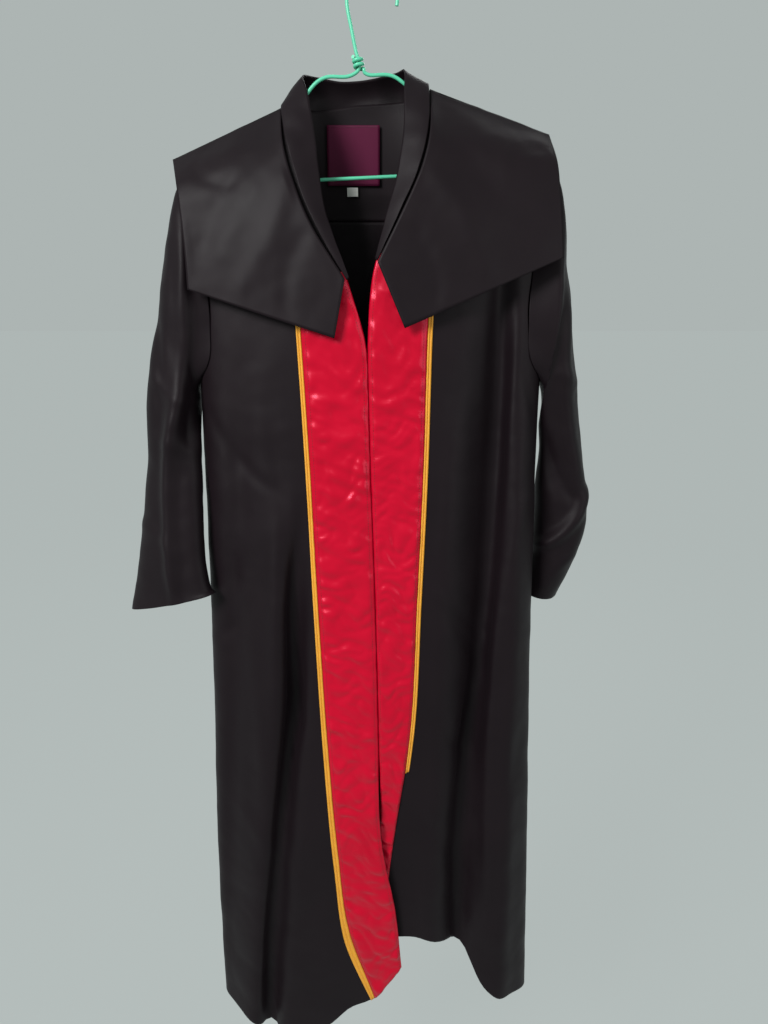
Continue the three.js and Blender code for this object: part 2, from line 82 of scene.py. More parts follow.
# folds fade in over their first fifth, and out where the body thins towards its sides
FOLD_START_RATE = 5
FOLD_SIDE_RATE = 1.6
# the yoke's top edge round the neck: middle, half width, depth and how far its middle rises
NECK_X = -18.5
NECK_HALF = 74
NECK_DEPTH = 46
NECK_RISE = 4
# the bare label and size tag inside the yoke
LABEL = dict(left=-54, right=8, top=-141, low=-207)
LABEL_HEM = 2
TAG = dict(left=-31, right=-18, top=-209, low=-219)

# ---- how finely each grid is cut ----
BAND_COLUMNS, SIDE_COLUMNS = 30, 46
TOP_ROWS, SKIRT_ROWS = 90, 300
PIPING_COLUMNS = 12
YOKE_ROWS, YOKE_COLUMNS = 40, 80
BACK_TOP_ROWS, BACK_SKIRT_ROWS, BACK_COLUMNS = 49, 219, 90
PATCH_CELLS = 20
COLLAR_ROWS, COLLAR_COLUMNS = 16, 240
CAPE_FRONT_ROWS, CAPE_FRONT_COLUMNS = 80, 60
CAPE_BACK_ROWS, CAPE_BACK_COLUMNS = 60, 168
SLEEVE_ROWS, SLEEVE_COLUMNS = 189, 96

# ---- the gown's outline in millimetres, after the solids' own tables ----
BODY = dict(
    z=[-1400, -1040, -895, -697, -430, -250, -110], left=[-233, -227, -221, -215, -211, -214, -216],
    right=[232, 219, 213, 207, 203, 206, 206], front=[62, 62, 62, 62, 62, 62, 60],
    back=[45, 45, 46, 47, 48, 50, 50], centre=[7.5, 7.5, 6, 2, -5, -6, -8])
SHOULDER = dict(x=[-216, -95, -20, 58, 206], z=[-199, -130, -123, -115.5, -186])
TOP_LEFT = dict(
    t=[0, 0.2, 0.4, 0.6, 0.8, 0.92, 1], in_x=[-92, -82, -66, -46, -23, -7, -5.3],
    in_z=[-129, -175, -222, -272, -330, -390, -432], band_x=[-106, -104, -98, -88, -82, -79.5, -78],
    out_x=[-212, -203, -195, -190, -188, -195, -211], out_z=[-199, -229, -266, -310, -366, -412, -432])
TOP_RIGHT = dict(
    t=[0, 0.2, 0.4, 0.6, 0.8, 0.92, 1], in_x=[56, 48, 33, 14, -2, -5.4, -4.7],
    in_z=[-116.5, -162, -212, -265, -328, -390, -432], band_x=[70, 70, 68, 66, 63, 61.5, 61],
    out_x=[202, 194, 186, 182, 180, 187, 203], out_z=[-186, -218, -258, -304, -362, -410, -432])
EDGE_LEFT = dict(z=[-1262, -1151, -1096, -1043, -1010, -895, -697, -507, -432],
                 x=[38, 27, 17, 9.5, 7.2, 5.7, 1.7, -3.8, -5.3])
EDGE_RIGHT = dict(z=[-1221, -1151, -1096, -1043, -1010, -895, -697, -507, -432],
                  x=[-12, -8, -2, 5.5, 7.6, 6.3, 2.3, -3.2, -4.7])
BAND_LEFT = dict(z=[-1317, -1203, -1068, -895, -697, -507, -432], x=[0, -35.5, -50, -61, -69, -75, -78])
BAND_RIGHT = dict(z=[-1221, -1101, -987, -941, -895, -697, -507, -432], x=[12, 21, 35, 41, 46, 54, 60, 61])
HEM_LEFT = dict(x=[-233, -215, -172, -135, -98, -67, -40, 0, 38],
                z=[-1366, -1369, -1391, -1402, -1396, -1376, -1345, -1317, -1262])
HEM_RIGHT = dict(x=[-12, 93, 115, 138, 155, 177, 202, 232],
                 z=[-1221, -1226, -1242, -1275, -1312, -1334, -1342, -1352])
HEM_BACK = dict(x=[-233, -120, 40, 150, 232], z=[-1366, -1330, -1300, -1318, -1352])
BACK_ARM = dict(t=[0, 0.3, 0.6, 0.85, 1], left=[-197, -190, -188, -195, -211],
                right=[187, 182, 180, 187, 203], z=[-247.2, -300, -362, -411, -432])
YOKE_LEFT = dict(top=-212, low=-197)
YOKE_RIGHT = dict(top=202, low=186)
# long folds: top x and z, low x and z, half width, sink towards the inside
FOLDS_FRONT = [
    (-80, -560, -158, -1420, 13, 13), (-104, -520, -188, -1420, 20, -7), (-150, -380, -206, -1100, 16, 6),
    (143, -290, 124, -1300, 25, 24), (180, -330, 186, -1420, 18, -9), (92, -420, 80, -1300, 18, -5)]
FOLDS_BACK = [
    (0, -230, 4, -1420, 7, 7), (-90, -290, -112, -1420, 22, 13), (96, -300, 84, -1420, 20, 12),
    (-150, -420, -172, -1420, 16, -6), (148, -400, 170, -1420, 17, 8)]
# listed creases, soft and uneven: start x and z, end x and z, half width, depth
CREASES_FRONT = [
    (-196, -470, -120, -560, 9, 1.6), (-205, -760, -150, -700, 11, 1.4), (-120, -480, -96, -900, 10, 1.8),
    (-60, -1120, -150, -1230, 12, 1.5), (-190, -1010, -120, -1120, 14, -1.6),
    (-176, -560, -150, -1000, 12, -2.0),
    (72, -640, 140, -760, 7, 1.8), (80, -700, 150, -840, 8, 1.6), (66, -820, 128, -930, 9, 1.7),
    (190, -560, 160, -800, 9, -2.0), (196, -900, 150, -1060, 12, 1.6), (60, -1010, 132, -1150, 12, 1.6),
    (148, -300, 132, -900, 12, 13.0), (133, -860, 124, -1260, 11, 12.0), (-80, -560, -104, -880, 7, 8.0),
    (-102, -830, -160, -1410, 9, 11.0), (166, -380, 160, -1150, 9, -5.0), (-122, -640, -150, -1200, 10, -4.5),
    (100, -430, 76, -600, 9, 1.3), (178, -420, 200, -560, 8, 1.6), (40, -1000, 70, -1200, 10, -1.6)]
CREASES_BACK = [
    (-180, -430, -60, -520, 12, 1.6), (170, -440, 60, -560, 12, 1.7), (-50, -640, -60, -1100, 14, -2.0),
    (50, -560, 44, -1000, 13, -1.8), (-190, -800, -130, -1000, 13, 1.5), (180, -760, 120, -980, 13, 1.5),
    (-30, -1090, -150, -1220, 15, 1.5), (30, -1080, 140, -1200, 14, -1.6)]
CREASES_CAPE = [
    (-110, -150, -196, -300, 17, 2.6), (-92, -210, -150, -330, 14, -2.0), (-70, -262, -96, -350, 11, 1.6),
    (-200, -196, -150, -214, 9, 1.5), (74, -140, 180, -262, 17, 2.4), (60, -200, 128, -316, 14, -2.2),
    (44, -262, 70, -345, 10, 1.6), (190, -178, 150, -190, 9, 1.5), (-20, -150, -30, -320, 16, 1.8)]
CREASES_SLEEVE = [
    (-216, -240, -236, -480, 8, 9.0), (-232, -440, -250, -700, 9, 9.0), (-262, -300, -262, -520, 10, -3.0),
    (-206, -300, -222, -520, 7, -3.5),
    (-215, -455, -262, -425, 8, 2.4), (-214, -520, -270, -500, 9, 1.8), (-300, -610, -240, -650, 10, 1.8),
    (224, -330, 258, -560, 9, 7.0), (270, -575, 218, -650, 8, 8.0), (214, -500, 262, -590, 9, -4.0),
    (262, -660, 224, -715, 9, 2.2), (215, -420, 246, -440, 8, 2.2)]
COLLAR_EDGE = [
    (-26, -66, -314), (-38, -62, -282), (-51, -52, -245), (-59, -38, -198), (-63, -24, -162), (-71, -6, -118),
    (-77, 12, -97), (-64, 33, -93), (-34, 44, -95), (0, 40, -93), (26, 26, -91), (35, 8, -93),
    (35, -14, -118),
    (34, -34, -164), (26, -48, -212), (15, -58, -252), (4, -66, -294)]
COLLAR_SEAM = [
    (-28, -68, -316), (-52, -64, -276), (-74, -55, -232), (-88, -43, -190), (-96, -26, -160),
    (-100, -2, -130),
    (-92, 25, -126), (-70, 46, -126), (-34, 55, -127), (4, 53, -124), (36, 42, -118), (58, 21, -112),
    (62, -4, -111), (61, -36, -158), (50, -54, -202), (30, -64, -246), (6, -69, -296)]
CAPE_LEFT_INNER = [
    (-102, 0, -131), (-98, -33, -168), (-87, -51, -208), (-66, -65, -258), (-30, -73, -315), (-42, -78, -378)]
CAPE_LEFT_OUTER = [
    (-227, 0, -184), (-216, -36, -216), (-211, -47, -250), (-208, -53, -285), (-207, -55, -326)]
CAPE_RIGHT_INNER = [
    (64, 0, -112), (63, -42, -158), (53, -60, -200), (32, -70, -246), (6, -75, -297), (36, -78, -367)]
CAPE_RIGHT_OUTER = [
    (199, 0, -158), (203, -36, -192), (206, -47, -226), (209, -53, -258), (212, -55, -292)]
CAPE_BACK_INNER = [
    (-102, 0.4, -131), (-100, 26, -128), (-76, 49, -128), (-34, 58, -128), (6, 56.5, -126), (41, 45.5, -120),
    (62, 23, -114), (64, 0.4, -112)]
CAPE_BACK_OUTER = [
    (-227, 0.4, -184), (-222, 44, -250), (-214, 55, -330), (-90, 64, -342), (60, 64, -336), (214, 56, -300),
    (210, 44, -222), (199, 0.4, -158)]
# sleeves: each ring's outer edge, inner edge and half depth
SLEEVE_LEFT = [
    ((-229, 0, -236), (-214, 0, -446), 38), ((-250, 0, -330), (-214, -4, -466), 34),
    ((-270, 2, -430), (-216, -26, -500), 24), ((-279, 4, -520), (-215, -36, -560), 20),
    ((-297, 2, -632), (-215, -42, -640), 20), ((-310, -2, -700), (-209, -46, -684), 20),
    ((-317, -4, -730), (-202, -48, -694), 21)]
SLEEVE_RIGHT = [
    ((217, 0, -226), (208, 0, -446), 38), ((231, 3, -320), (210, 8, -466), 34),
    ((245, 6, -412), (211, 18, -492), 28), ((260, 10, -507), (213, 26, -548), 24),
    ((273, 12, -590), (214, 34, -604), 25), ((272, 16, -645), (213, 40, -652), 27),
    ((244, 26, -728), (206, 52, -716), 26)]
HANGER_FRAME = [
    (-14, -90), (-20, -97), (-56, -102), (-77, -121), (-100, -142), (-196, -199), (-205, -207), (-196, -211),
    (-53, -205), (40, -201), (184, -194), (192, -190), (184, -184), (60, -127), (36, -107),
    (22, -99), (-8, -96)]


# ---- tables and curves ----
def hermite(xs, ys, value):
    """A smooth curve through the points xs, ys, read at value."""
    slopes = np.gradient(ys, xs)
    value = np.clip(value, xs[0], xs[-1])
    i = np.clip(np.searchsorted(xs, value) - 1, 0, len(xs) - 2)
    span = xs[i + 1] - xs[i]
    t = (value - xs[i]) / span
    return ((2 * t**3 - 3 * t**2 + 1) * ys[i] + (t**3 - 2 * t**2 + t) * span * slopes[i]
            + (3 * t**2 - 2 * t**3) * ys[i + 1] + (t**3 - t**2) * span * slopes[i + 1])


def look_up(table, key, column, value):
    """A table's column, read smoothly at a value of its key column."""
    xs = np.array(table[key], float)
    ys = np.array(table[column], float)
    order = np.argsort(xs)
    return hermite(xs[order], ys[order], np.asarray(value, float))


def rail(points, t, straight=False):
    """Points at t, from 0 to 1, along a route: a smooth curve, or straight from point to point."""
    points = np.array(points, float)
    place = np.linspace(0, 1, len(points))
    if straight:
        return np.stack([np.interp(t, place, points[:, k]) for k in range(3)], axis=-1)
    return np.stack([hermite(place, points[:, k], t) for k in range(3)], axis=-1)


def mix(a, b, t):
    return a + (b - a) * t


def ease(t):
    """From 0 to 1, slow at both ends."""
    t = np.clip(t, 0, 1)
    return t * t * (3 - 2 * t)


# ---- the body's surface ----
def section(x, z):
    """The body's depth at x and z as a share of its greatest, nothing at its sides and shoulders."""
    centre = look_up(BODY, "z", "centre", z)
    side = np.where(x < centre, look_up(BODY, "z", "left", z), look_up(BODY, "z", "right", z))
    across = np.clip(np.abs((x - centre) / (side - centre)), 0, 1)
    below = np.maximum(0, np.interp(x, SHOULDER["x"], SHOULDER["z"]) - z)
    return (1 - across**ROUNDNESS) ** (1 / ROUNDNESS) * (1 - np.exp(-below / SHOULDER_DROP))


def folds(rows, x, z):
    """How far the long folds sink the surface at x and z."""
    total = np.zeros(np.broadcast(x, z).shape)
    for top_x, top_z, low_x, low_z, half, sink in rows:
        t = (z - top_z) / (low_z - top_z)
        away = (x - mix(top_x, low_x, t)) / half
        total = total + sink * np.exp(-away * away) * np.clip(t * FOLD_START_RATE, 0, 1) * (t > 0)
    return total


def overlap(x, z):
    """How far the left front lies before the body's surface, and the right one behind it."""
    below = np.clip((OVERLAP_START - z) / OVERLAP_FADE, 0, 1)
    return OVERLAP_DEPTH * below * np.exp(-(((x - OVERLAP_X) / OVERLAP_HALF) ** 2))


def front_y(x, z, side):
    depth = section(x, z)
    sunk = folds(FOLDS_FRONT, x, z) * np.clip(depth * FOLD_SIDE_RATE, 0, 1)
    flat = -look_up(BODY, "z", "front", z) * depth + sunk
    return np.minimum(-SEAM, flat + side * overlap(x, z))


def back_y(x, z):
    depth = section(x, z)
    sunk = folds(FOLDS_BACK, x, z) * np.clip(depth * FOLD_SIDE_RATE, 0, 1)
    return np.maximum(SEAM, look_up(BODY, "z", "back", z) * depth - sunk)


# ---- grids: arrays of rows, columns and x, y, z ----
def normals(grid, closed=False):
    if closed:
        across = np.roll(grid, -1, axis=1) - np.roll(grid, 1, axis=1)
    else:
        across = np.gradient(grid, axis=1)
    down = np.gradient(grid, axis=0)
    n = np.cross(down, across)
    return n / np.maximum(np.linalg.norm(n, axis=2, keepdims=True), 1e-9)


def moved(grid, distance, closed=False):
    """The grid moved outwards, by one distance or by one for each of its points."""
    distance = np.asarray(distance, float)
    if distance.ndim == 2:
        distance = distance[..., None]
    return grid + normals(grid, closed) * distance


# a crease bows by this share of its length, up to a most, and fades at its ends at this rate
CREASE_BEND = 0.12
CREASE_BEND_MOST = 9
CREASE_END_RATE = 3


def creases(rows, x, z):
    """Troughs and ridges along short bowed lines that fade out at both ends."""
    total = np.zeros(np.broadcast(x, z).shape)
    for x0, z0, x1, z1, half, depth in rows:
        length2 = (x1 - x0) ** 2 + (z1 - z0) ** 2
        t = ((x - x0) * (x1 - x0) + (z - z0) * (z1 - z0)) / length2
        arc = min(CREASE_BEND * math.sqrt(length2), CREASE_BEND_MOST)
        bend = arc * np.sin(np.pi * np.clip(t, 0, 1)) * (1 if half % 2 else -1)
        off = ((x - x0) * (z1 - z0) - (z - z0) * (x1 - x0)) / math.sqrt(length2) - bend
        fade = ease(t * CREASE_END_RATE + 0.5) * ease((1 - t) * CREASE_END_RATE + 0.5)
        total = total - depth * np.exp(-((off / half) ** 2)) * fade
    return total


def ripple(grid, scale, height, seed):
    """Smooth unevenness of a size and height, one value for each point."""
    flat = grid.reshape(-1, 3) / scale + seed
    values = [noise.noise(Vector(p)) for p in flat]
    return np.array(values).reshape(grid.shape[:2]) * height


BROAD_RIPPLE = 46.0
FINE_RIPPLE = 17.0
FINE_SHARE = 0.3
EDGE_RATE = 14
EDGE_LEAST = 0.05


def drape(grid, rows, seed, height=1.1, closed=False):
    """Listed creases, then the cloth's own slow unevenness. Both fade out at an open grid's sides."""
    swell = creases(rows, grid[..., 0], grid[..., 2])
    swell = swell + ripple(grid, BROAD_RIPPLE, height, seed)
    swell = swell + ripple(grid, FINE_RIPPLE, height * FINE_SHARE, seed + 9)
    if not closed:
        place = np.linspace(0, 1, grid.shape[1])
        swell = swell * ease(np.minimum(place, 1 - place) * EDGE_RATE + EDGE_LEAST)
    return moved(grid, swell, closed)


def front_grid(side):
    """One front from its centre edge through the satin band's edge and the piping to its side."""
    left = side < 0
    top = TOP_LEFT if left else TOP_RIGHT
    edge = EDGE_LEFT if left else EDGE_RIGHT
    band = BAND_LEFT if left else BAND_RIGHT
    hem = HEM_LEFT if left else HEM_RIGHT
    side_hem = hem["z"][0] if left else hem["z"][-1]
    u_band = np.linspace(0, 1, BAND_COLUMNS + 1)
    u_side = np.sin(np.linspace(0, 1, SIDE_COLUMNS + 1) * np.pi / 2) ** 0.95
    rows = []
    for i in range(TOP_ROWS + SKIRT_ROWS):
        upper = i < TOP_ROWS
        if upper:
            t = i / TOP_ROWS
            inner = [look_up(top, "t", "in_x", t), look_up(top, "t", "in_z", t)]
            outer = [look_up(top, "t", "out_x", t), look_up(top, "t", "out_z", t)]
            band_x = look_up(top, "t", "band_x", t)
            band_at = [band_x, mix(inner[1], outer[1], (band_x - inner[0]) / (outer[0] - inner[0]))]
        else:
            t = (i - TOP_ROWS) / (SKIRT_ROWS - 1)
            inner_z = mix(UNDERARM_Z, edge["z"][0], t)
            inner = [look_up(edge, "z", "x", inner_z), inner_z]
            band_z = mix(UNDERARM_Z, band["z"][0], t)
            band_at = [look_up(band, "z", "x", band_z), band_z]
            outer_z = mix(UNDERARM_Z, side_hem, t)
            outer = [look_up(BODY, "z", "left" if left else "right", outer_z), outer_z]
        start = band_at[0] + side * PIPING_WIDTH
        x = np.concatenate([mix(inner[0], band_at[0], u_band), mix(start, outer[0], u_side)])
        if upper:
            share = (x[BAND_COLUMNS + 1:] - band_at[0]) / (outer[0] - band_at[0])
            z_side = mix(band_at[1], outer[1], share)
        else:
            z_side = mix(UNDERARM_Z, look_up(hem, "x", "z", x[BAND_COLUMNS + 1:]), t)
        z = np.concatenate([mix(inner[1], band_at[1], u_band), z_side])
        row = np.stack([x, front_y(x, z, side), z], axis=-1)
        rows.append(row[::-1] if left else row)
    return np.array(rows)


def pucker(grid, seed):
    """Heights of satin gathered along both stitched edges, with loose diagonal swells between them."""
    rows, columns = grid.shape[:2]
    place = np.linspace(0, 1, columns)[None, :]
    near_edge = np.exp(-place / 0.16) + np.exp(-(1 - place) / 0.16)
    values = np.zeros((rows, columns))
    for i in range(rows):
        for j in range(columns):
            x, _, z = grid[i, j]
            warp = noise.noise(Vector((x / 30, z / 55, seed)))
            swell = noise.noise(Vector((x / 40 + z / 80 + seed, z / 30 + warp, 3.1)))
            broad = noise.noise(Vector((x / 26 - z / 60, z / 17 + warp * 1.6, seed + 2)))
            cross = noise.noise(Vector((x / 40 + warp, z / 10 + x / 26, seed + 5)))
            fine = noise.noise(Vector((x / 20, z / 5.0 + warp * 2, seed + 11)))
            gather = near_edge[0, j]
            values[i, j] = 4.0 * abs(swell) ** 0.7 + 3.4 * abs(broad) ** 0.9 + 1.5 * cross
            values[i, j] += (1.2 * cross + 0.55 * fine) * gather
    hold = ease(np.minimum(place, 1 - place) * 9)
    return np.maximum(0, values + 0.9) * (0.25 + 0.75 * hold)


def yoke_point(x, v):
    """The yoke's surface at x, from its neck edge at v = 0 to its seam with the back at v = 1."""
    across = np.clip(np.abs((x - NECK_X) / NECK_HALF), 0, 1)
    top_y = np.maximum(SEAM, NECK_DEPTH * (1 - across**3) ** (1 / 3))
    top_z = np.interp(x, SHOULDER["x"], SHOULDER["z"]) + NECK_RISE * (1 - across)
    return np.stack([x, mix(top_y, back_y(x * 0.95, YOKE_Z + x * 0), 1 - (1 - v) ** 2),
                     mix(top_z, YOKE_Z + SEAM / 2, v)], axis=-1)


def finer_at_sides(count):
    """From 0 to 1 in steps that get smaller towards both ends."""
    return (1 - np.cos(np.linspace(0, 1, count + 1) * np.pi)) / 2


def yoke_grid():
    u = finer_at_sides(YOKE_COLUMNS)
    rows = []
    for v in np.linspace(0, 1, YOKE_ROWS + 1):
        right = mix(YOKE_RIGHT["top"], YOKE_RIGHT["low"], v)
        left = mix(YOKE_LEFT["top"], YOKE_LEFT["low"], v)
        rows.append(yoke_point(mix(right, left, u), v))
    return np.array(rows)


def back_grid():
    u = finer_at_sides(BACK_COLUMNS)
    rows = []
    for t in np.linspace(0, 1, BACK_TOP_ROWS + 1)[:-1]:
        x = mix(look_up(BACK_ARM, "t", "right", t), look_up(BACK_ARM, "t", "left", t), u)
        z = look_up(BACK_ARM, "t", "z", t) + x * 0
        rows.append(np.stack([x, back_y(x, z), z], axis=-1))
    for t in np.linspace(0, 1, BACK_SKIRT_ROWS + 1):
        side_z = mix(UNDERARM_Z, BACK_HEM_Z, t)
        x = mix(look_up(BODY, "z", "right", side_z), look_up(BODY, "z", "left", side_z), u)
        z = mix(UNDERARM_Z, look_up(HEM_BACK, "x", "z", x), t)
        rows.append(np.stack([x, back_y(x, z), z], axis=-1))
    return np.array(rows)


def inside_yoke(x, z, inset):
    """Points at x and z, the inset before the yoke's surface."""
    top_z = yoke_point(x, 0)[:, 2]
    y = yoke_point(x, (top_z - z) / (top_z - YOKE_Z))[:, 1] - inset
    return np.stack([x, y, x * 0 + z], axis=-1)


def patch_grid(patch):
    """A patch of cloth sewn inside the yoke."""
    x = np.linspace(patch["right"], patch["left"], PATCH_CELLS + 1)
    return np.array([inside_yoke(x, z, PATCH_INSET)
                     for z in np.linspace(patch["top"], patch["low"], PATCH_CELLS + 1)])


COLLAR_MIDDLE_X = -20
COLLAR_ROLL = 5
COLLAR_LIFT = 0.4


def collar_grid():
    """The rolled stand between its free edge and its seam, swollen outwards from the neck."""
    u = np.linspace(0, 1, COLLAR_COLUMNS + 1)
    edge, seam = rail(COLLAR_EDGE, u), rail(COLLAR_SEAM, u)
    outwards = np.stack([seam[:, 0] - COLLAR_MIDDLE_X, seam[:, 1], u * 0], axis=-1)
    outwards /= np.linalg.norm(outwards, axis=1, keepdims=True)
    rows = []
    for v in np.linspace(0, 1, COLLAR_ROWS + 1):
        roll = (COLLAR_ROLL * np.sin(np.pi * v) * np.sin(np.pi * u))[:, None]
        rows.append(mix(edge, seam, v) + outwards * roll + np.array([0, 0, COLLAR_LIFT]) * roll)
    return np.array(rows)


# the cape's inner edge is a curve down to its corner, then straight
CAPE_CORNER = 0.8
CAPE_FRONT_CROWN = 4
CAPE_BACK_CROWN = 9
CROWN_SIDE_RATE = 3


def cape_front_grid(inner, outer):
    """One front of the cape, from the neck down, a little crowned between its two edges."""
    u = np.linspace(0, 1, CAPE_FRONT_COLUMNS + 1)[:, None]
    rows = []
    for v in np.linspace(0, 1, CAPE_FRONT_ROWS + 1):
        a = rail(inner[:-1], v / CAPE_CORNER) if v < CAPE_CORNER else rail(inner, v, straight=True)
        b = rail(outer, v)
        row = mix(a, b, u)
        crown = CAPE_FRONT_CROWN * np.sin(np.pi * u[:, 0]) * v
        row[:, 1] = np.minimum(-SEAM, row[:, 1] - crown)
        rows.append(row[::-1] if b[0] < a[0] else row)
    return np.array(rows)


def cape_back_grid():
    u = np.linspace(1, 0, CAPE_BACK_COLUMNS + 1)
    inner, outer = rail(CAPE_BACK_INNER, u), rail(CAPE_BACK_OUTER, u, straight=True)
    rows = []
    for v in np.linspace(0, 1, CAPE_BACK_ROWS + 1):
        row = mix(inner, outer, v)
        crown = CAPE_BACK_CROWN * np.sin(np.pi * v) * np.minimum(1, np.sin(np.pi * u) * CROWN_SIDE_RATE)
        row[:, 1] = np.maximum(SEAM, row[:, 1] + crown)
        rows.append(row)
    return np.array(rows)


RING_ANGLES = np.arange(SLEEVE_COLUMNS) / SLEEVE_COLUMNS * 2 * np.pi
SLEEVE_SQUARENESS = 0.85


def armhole_ring(side):
    """The ring where front and back meet the sleeve, a gap outside them."""
    top = TOP_LEFT if side < 0 else TOP_RIGHT
    angle = RING_ANGLES
    z = mix(UNDERARM_Z, top["out_z"][0], (1 + np.cos(angle)) / 2)
    x = look_up(top, "out_z", "out_x", z)
    y = np.where(np.sin(angle) > 0, front_y(x, z, 0), back_y(x, z))
    at_seam = np.abs(np.sin(angle)) < 0.01
    return np.stack([x + side * ARMHOLE_GAP, np.where(at_seam, 0, y), z], axis=-1)


def sleeve_grid(side):
    """A tube smooth along its length, from the armhole through the table's rings to the cuff."""
    angle = RING_ANGLES
    rings = [armhole_ring(side)]
    for outer, inner, half in SLEEVE_LEFT if side < 0 else SLEEVE_RIGHT:
        outer, inner = np.array(outer, float), np.array(inner, float)
        e = (outer - inner) / 2
        across = np.array([e[1], -e[0], 0]) / np.hypot(e[0], e[1]) * np.sign(e[0]) * half
        s = np.sign(np.sin(angle)) * np.abs(np.sin(angle)) ** SLEEVE_SQUARENESS
        rings.append((outer + inner) / 2 + np.cos(angle)[:, None] * e + s[:, None] * across)
    rings = np.array(rings)
    place = np.linspace(0, 1, len(rings))
    t = np.linspace(0, 1, SLEEVE_ROWS + 1)
    grid = np.stack([[hermite(place, rings[:, j, k], t) for j in range(SLEEVE_COLUMNS)]
                     for k in range(3)], axis=-1)
    grid = grid.transpose(1, 0, 2)
    return grid[:, ::-1] if side < 0 else grid


# ---- meshes ----
def shell(name, grid, thickness, closed=False, limit=None):
    """A closed thin wall whose outside face is the grid. limit keeps its inside face clear of other cloth."""
    rows, columns = grid.shape[:2]
    inside = moved(grid, -thickness, closed)
    if limit is not None:
        inside = limit(inside)
    vertices = np.concatenate([grid.reshape(-1, 3), inside.reshape(-1, 3)]) * MM
    index = np.arange(rows * columns).reshape(rows, columns)
    if closed:
        index = np.concatenate([index, index[:, :1]], axis=1)
    a, b, c, d = index[:-1, :-1], index[1:, :-1], index[1:, 1:], index[:-1, 1:]
    outer = np.stack([a, b, c, d], axis=-1).reshape(-1, 4)
    layer = rows * columns
    inner = outer[:, ::-1] + layer
    loops = [index[0], index[-1][::-1]] + ([] if closed else [index[:, 0][::-1], index[:, -1]])
    rims = [np.stack([line[:-1], line[1:], line[1:] + layer, line[:-1] + layer], axis=-1) for line in loops]
    faces = np.concatenate([outer, inner] + rims)
    mesh = bpy.data.meshes.new(name)
    mesh.from_pydata(vertices.tolist(), [], faces.tolist())
    smooth = np.ones(len(faces), bool)
    smooth[len(outer) + len(inner):] = False
    mesh.polygons.foreach_set("use_smooth", smooth)
    mesh.update()
    thing = bpy.data.objects.new(name, mesh)
    bpy.context.collection.objects.link(thing)
    return thing


def finish_piece(thing, material, slot, *nodes):
    """Gives a piece its material and its body, and hides the nodes that it stands for. The slot is not used.
    """
    thing.data.materials.append(material)
    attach(thing, "root")
    if nodes:
        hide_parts(*nodes)
    return thing


def cloth_piece(name, grid, thickness, material, slot, closed=False, limit=None):
    thing = finish_piece(shell(name + "_cloth", grid, thickness, closed, limit), material, slot, name)
    return thing


# a stitch: places along it with its width there, and how far it stands out of the cloth
STITCH_PROFILE = ((0, 0.3), (0.3, 1), (0.7, 1), (1, 0.3))
STITCH_RISE = 0.4


def stitches(name, line, out, material, slot, pitch=3.4, length=2.3, half=0.32):
    """A row of short raised stitches along a line of points, lying on the cloth."""
    steps = np.linalg.norm(np.diff(line, axis=0), axis=1)
    travel = np.concatenate([[0], np.cumsum(steps)])
    vertices, faces = [], []
    for start in np.arange(pitch, travel[-1] - pitch, pitch):
        ends = [np.array([np.interp(start + d, travel, line[:, k]) for k in range(3)])
                for d in (-length / 2, length / 2)]
        along = ends[1] - ends[0]
        along /= np.linalg.norm(along)
        n = np.array([np.interp(start, travel, out[:, k]) for k in range(3)])
        across = np.cross(along, n)
        base = len(vertices)
        for t, swell in STITCH_PROFILE:
            middle = mix(ends[0], ends[1], t)
            for angle in (0, math.pi / 2, math.pi, -math.pi / 2):
                turn = across * math.cos(angle) + n * (math.sin(angle) + STITCH_RISE)
                vertices.append((middle + turn * half * swell) * MM)
        for k in range(3):
            for q in range(4):
                a, b = base + k * 4 + q, base + k * 4 + (q + 1) % 4
                faces.append((a, b, b + 4, a + 4))
        faces += [tuple(base + q for q in (3, 2, 1, 0)), tuple(base + 12 + q for q in (0, 1, 2, 3))]
    mesh = bpy.data.meshes.new(name)
    mesh.from_pydata([tuple(v) for v in vertices], [], faces)
    mesh.polygons.foreach_set("use_smooth", [True] * len(faces))
    thing = bpy.data.objects.new(name, mesh)
    bpy.context.collection.objects.link(thing)
    return finish_piece(thing, material, slot)


